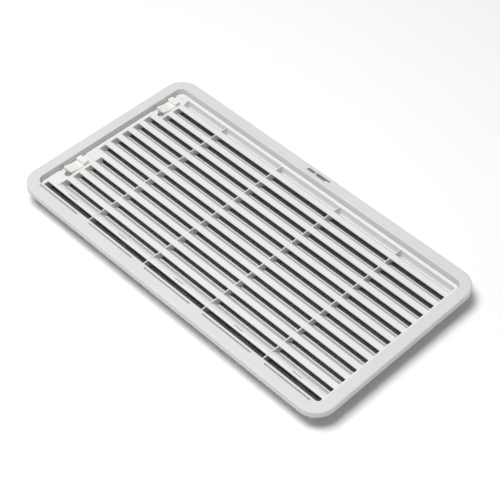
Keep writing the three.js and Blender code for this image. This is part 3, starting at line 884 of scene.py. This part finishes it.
def makeFirstScrew():
    s = screwSizes
    profile = screwProfile()
    bpy.ops.object.select_all(action="DESELECT")
    bpy.ops.mesh.primitive_circle_add(vertices=len(profile), fill_type="NOTHING")
    screw = bpy.context.object
    for vertex, (radius, z) in zip(screw.data.vertices, profile):
        vertex.co = (radius, 0, z)
    enterEdit(screw, "EDGE")
    pick(screw, "EDGE", lambda edge: all(vertex.co.x < 0.001 * mm for vertex in edge.verts))
    bpy.ops.mesh.delete(type="EDGE")
    bpy.ops.mesh.select_all(action="SELECT")
    bpy.ops.mesh.spin(steps=24, angle=math.radians(360), center=(0, 0, 0), axis=(0, 0, 1))
    bpy.ops.mesh.select_all(action="SELECT")
    bpy.ops.mesh.remove_doubles(threshold=0.005 * mm)
    bpy.ops.mesh.normals_make_consistent(inside=False)
    leaveEdit()
    arm, half = s["recessArm"], s["recessWidth"] / 2
    cross = [
        addBox((-arm, -half, -mm), (arm, half, s["recessDepth"])),
        addBox((-half, -arm, -mm), (half, arm, s["recessDepth"]))]
    cutAway(screw, cross)
    cleanMesh(screw)
    return shadeSmooth(screw, 35)


def makeScrews():
    first = makeFirstScrew()
    for number, node in enumerate(screwNodes):
        low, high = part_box(node)
        place = ((low.x + high.x) / 2, (low.y + high.y) / 2, low.z)
        screw = copyPiece(first, "ringScrew%02d" % (number + 1), place)
        finishPiece(screw, "zincSteel", "insert", [node])
    bpy.data.objects.remove(first)


# thumb slides and their clips

slideSizes = millimetres({
    "block": 8.5, "blockRise": 3.5, "neck": 7, "neckRise": -0.7, "thumbRise": 3.2, "thumbEdge": 2.2,
    "thumbCorner": 4, "thumbUndercut": 4.5, "rounding": 0.7, "sole": 0.3,
    "keelShift": 1.2, "keelHalf": 2.5, "keelLength": 8, "footHeight": 1.2, "footOverhang": 1.4,
    "footDrop": 4.8, "tongueStart": 9, "tongueLength": 6.5, "tongueThickness": 1.5,
    "tongueDrop": 7.2, "hook": 2, "hookHeight": 1.7, "overlap": 0.5, "softEdge": 0.3})


def makeSlide(name):
    s = slideSizes
    low, high = slideBoxes[name]
    start, end = low.y, high.y
    block = end - s["block"]
    neck = block - s["neck"]
    sole = pocketFloor + s["sole"]
    blockTop = faceZ + s["blockRise"]
    neckTop = faceZ + s["neckRise"]
    tip = faceZ + s["thumbRise"]
    points = [
        (start + s["thumbUndercut"], sole), (end, sole), (end, blockTop), (block, blockTop),
        (block, neckTop), (neck, neckTop), (start, tip), (start, tip - s["thumbEdge"])]
    rounded = [
        ((end, blockTop), s["rounding"], 4), ((block, blockTop), s["rounding"], 4),
        ((block, neckTop), s["rounding"], 4), ((neck, neckTop), 3 * s["rounding"], 6),
        ((start, tip), 1.4 * s["rounding"], 5), ((start, tip - s["thumbEdge"]), s["rounding"], 4)]
    piece = addSection(points, low.x, high.x, rounded)
    past = s["thumbCorner"]
    combine(piece, [addPlate((low.x, start, sole - mm), (high.x, end + past, tip + mm), past)], "INTERSECT")
    keelX = (low.x + high.x) / 2 + s["keelShift"]
    footTop = faceZ - s["footDrop"]
    footLow = footTop - s["footHeight"]
    half = s["keelHalf"]
    foot = half + s["footOverhang"]
    keelEnd = neck + s["keelLength"]
    addOn(piece, [addBox((keelX - half, neck, footLow), (keelX + half, keelEnd, sole + s["overlap"]))])
    addOn(piece, [addBox((keelX - foot, neck, footLow), (keelX + foot, keelEnd, footTop))])
    tongueLow = start + s["tongueStart"]
    tongueHigh = tongueLow + s["tongueLength"]
    hookLow = faceZ - s["tongueDrop"]
    leg = low.x + s["hook"]
    legHigh = leg + s["tongueThickness"]
    addOn(piece, [addBox((leg, tongueLow, hookLow), (legHigh, tongueHigh, sole + s["overlap"]))])
    hookHigh = (leg + s["overlap"], tongueHigh, hookLow + s["hookHeight"])
    addOn(piece, [addBox((low.x, tongueLow, hookLow), hookHigh)])
    joinAs("slideLock" + name.title(), [piece])
    softenEdges(piece, s["softEdge"], 3)
    finishPiece(piece, "slidePlastic", "slide_" + name, ["slide_lock_" + name])


clipSizes = millimetres({"slotHalf": 2.8, "slotStart": 2.2, "corner": 1.6, "softEdge": 0.15})


def makeClip(name):  # U of spring steel, pushed onto the keel
    s = clipSizes
    low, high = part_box("lock_clip_" + name)
    middle = (low.x + high.x) / 2
    piece = addPlate(low, high, s["corner"], 6)
    slotLow = (middle - s["slotHalf"], low.y + s["slotStart"], low.z - mm)
    cutAway(piece, [addBox(slotLow, (middle + s["slotHalf"], high.y + mm, high.z + mm))])
    joinAs("lockClip" + name.title(), [piece])
    softenEdges(piece, s["softEdge"])
    finishPiece(piece, "zincSteel", "slide_" + name, ["lock_clip_" + name])


# sealing strip

stripSizes = millimetres({"width": 6, "cornerRadius": 25.5, "softEdge": 0.9})


def makeSealingStrip():
    s = stripSizes
    inner = grown(stripLow, stripHigh, -s["width"])
    innerRadius = s["cornerRadius"] - s["width"]
    piece = bridgeOutlines("sealingStrip", [
        addOutline(stripLow, stripHigh, stripLow.z, s["cornerRadius"]),
        addOutline(stripLow, stripHigh, stripHigh.z, s["cornerRadius"]),
        addOutline(*inner, stripHigh.z, innerRadius), addOutline(*inner, stripLow.z, innerRadius)])
    softenEdges(piece, s["softEdge"], 4)
    finishPiece(piece, "cellularRubber", "frame", ["sealing_strip"])


# printed mark on the flange: slanted strokes, like louvres, before two lines

markSizes = millimetres({
    "fromTop": 8, "start": -17, "strokeStep": 2.5, "strokeWidth": 1.7, "strokeLength": 4.6,
    "lineStart": -3.5, "lineEnd": 19, "lineWidth": 1.9, "lineRise": 1.3, "lowerLineShorter": 6,
    "thickness": 0.05, "sink": 0.1})
strokeCount = 5
strokeLean = math.radians(-24)


def makeMark():
    s = markSizes
    y = outerHigh.y - s["fromTop"]
    low, high = flangeTop - s["sink"], flangeTop + s["thickness"]
    parts = []
    for number in range(strokeCount):
        x = s["start"] + number * s["strokeStep"]
        half, reach = s["strokeWidth"] / 2, s["strokeLength"] / 2
        stroke = addPlate((-half, -reach, low), (half, reach, high), 0.4 * half, 3)
        stroke.rotation_euler.z = strokeLean
        stroke.location = (x, y, 0)
        chooseOnly(stroke)
        parts.append(applyPlace())
    for side in (-1, 1):
        middle = y + side * s["lineRise"]
        half = s["lineWidth"] / 2
        end = s["lineEnd"] if side > 0 else s["lineEnd"] - s["lowerLineShorter"]
        corner = (s["lineStart"], middle - half, low)
        parts.append(addPlate(corner, (end, middle + half, high), 0.8 * half, 4))
    piece = joinAs("printedMark", parts)
    shadeSmooth(piece)
    finishPiece(piece, "printInk", "frame", [])


makeMountingFrame()
makeLouvredInsert()
makeInsectScreen()
makeScreenRing()
makeScrews()
for lockName in slideBoxes:
    makeSlide(lockName)
    makeClip(lockName)
makeSealingStrip()
makeMark()

# camera, floor and light

studio = {
    "cameraPlace": (0.8416, -0.8543, 1.3241), "cameraAim": (0.0296, -0.0171, 0.031),
    "cameraRoll": 1.15, "lens": 103.06, "sensorWidth": 36,
    "floorSide": 6.0, "floorShade": (0.955, 0.955, 0.955), "floorLight": (0.965, 0.965, 0.965),
    "floorBlotch": 0.4, "floorGrain": 0.1, "floorRoughness": (0.8, 0.9),
    "softboxPlace": (-0.2, -0.6, 2.4), "softboxSide": 1.1, "softboxPower": 54.0,
    "ambient": 0.31,
}


def makeCamera():
    camera = bpy.data.objects.new("camera", bpy.data.cameras.new("camera"))
    bpy.context.scene.collection.objects.link(camera)
    place = Vector(studio["cameraPlace"])
    look = (Vector(studio["cameraAim"]) - place).to_track_quat("-Z", "Y").to_matrix().to_4x4()
    camera.matrix_world = look
    camera.location = place
    camera.rotation_euler.rotate_axis("Z", math.radians(studio["cameraRoll"]))
    camera.data.lens = studio["lens"]
    camera.data.sensor_width = studio["sensorWidth"]
    bpy.context.scene.camera = camera


def makeFloor():
    bpy.ops.object.select_all(action="DESELECT")
    bpy.ops.mesh.primitive_plane_add(size=studio["floorSide"], location=(0, 0, cadLow.z))
    floor = bpy.context.object
    floor.name = "floor"
    graph = Graph("paperFloor")
    blotches = graph.noise(studio["floorBlotch"])
    graph.colour(graph.blend(blotches, studio["floorShade"], studio["floorLight"]))
    graph.roughness(graph.spread(graph.noise(studio["floorGrain"]), *studio["floorRoughness"]))
    floor.data.materials.append(graph.material)


def makeLight():
    light = bpy.data.objects.new("softbox", bpy.data.lights.new("softbox", "AREA"))
    bpy.context.scene.collection.objects.link(light)
    light.location = studio["softboxPlace"]
    light.rotation_euler = (-light.location).to_track_quat("-Z", "Y").to_euler()
    light.data.size = studio["softboxSide"]
    light.data.energy = studio["softboxPower"]
    world = bpy.data.worlds.new("studio")
    world.use_nodes = True
    world.node_tree.nodes["Background"].inputs["Color"].default_value = (1, 1, 1, 1)
    world.node_tree.nodes["Background"].inputs["Strength"].default_value = studio["ambient"]
    bpy.context.scene.world = world
    bpy.context.scene.view_settings.view_transform = "Standard"


makeCamera()
makeFloor()
makeLight()
print("camera, floor and light placed")
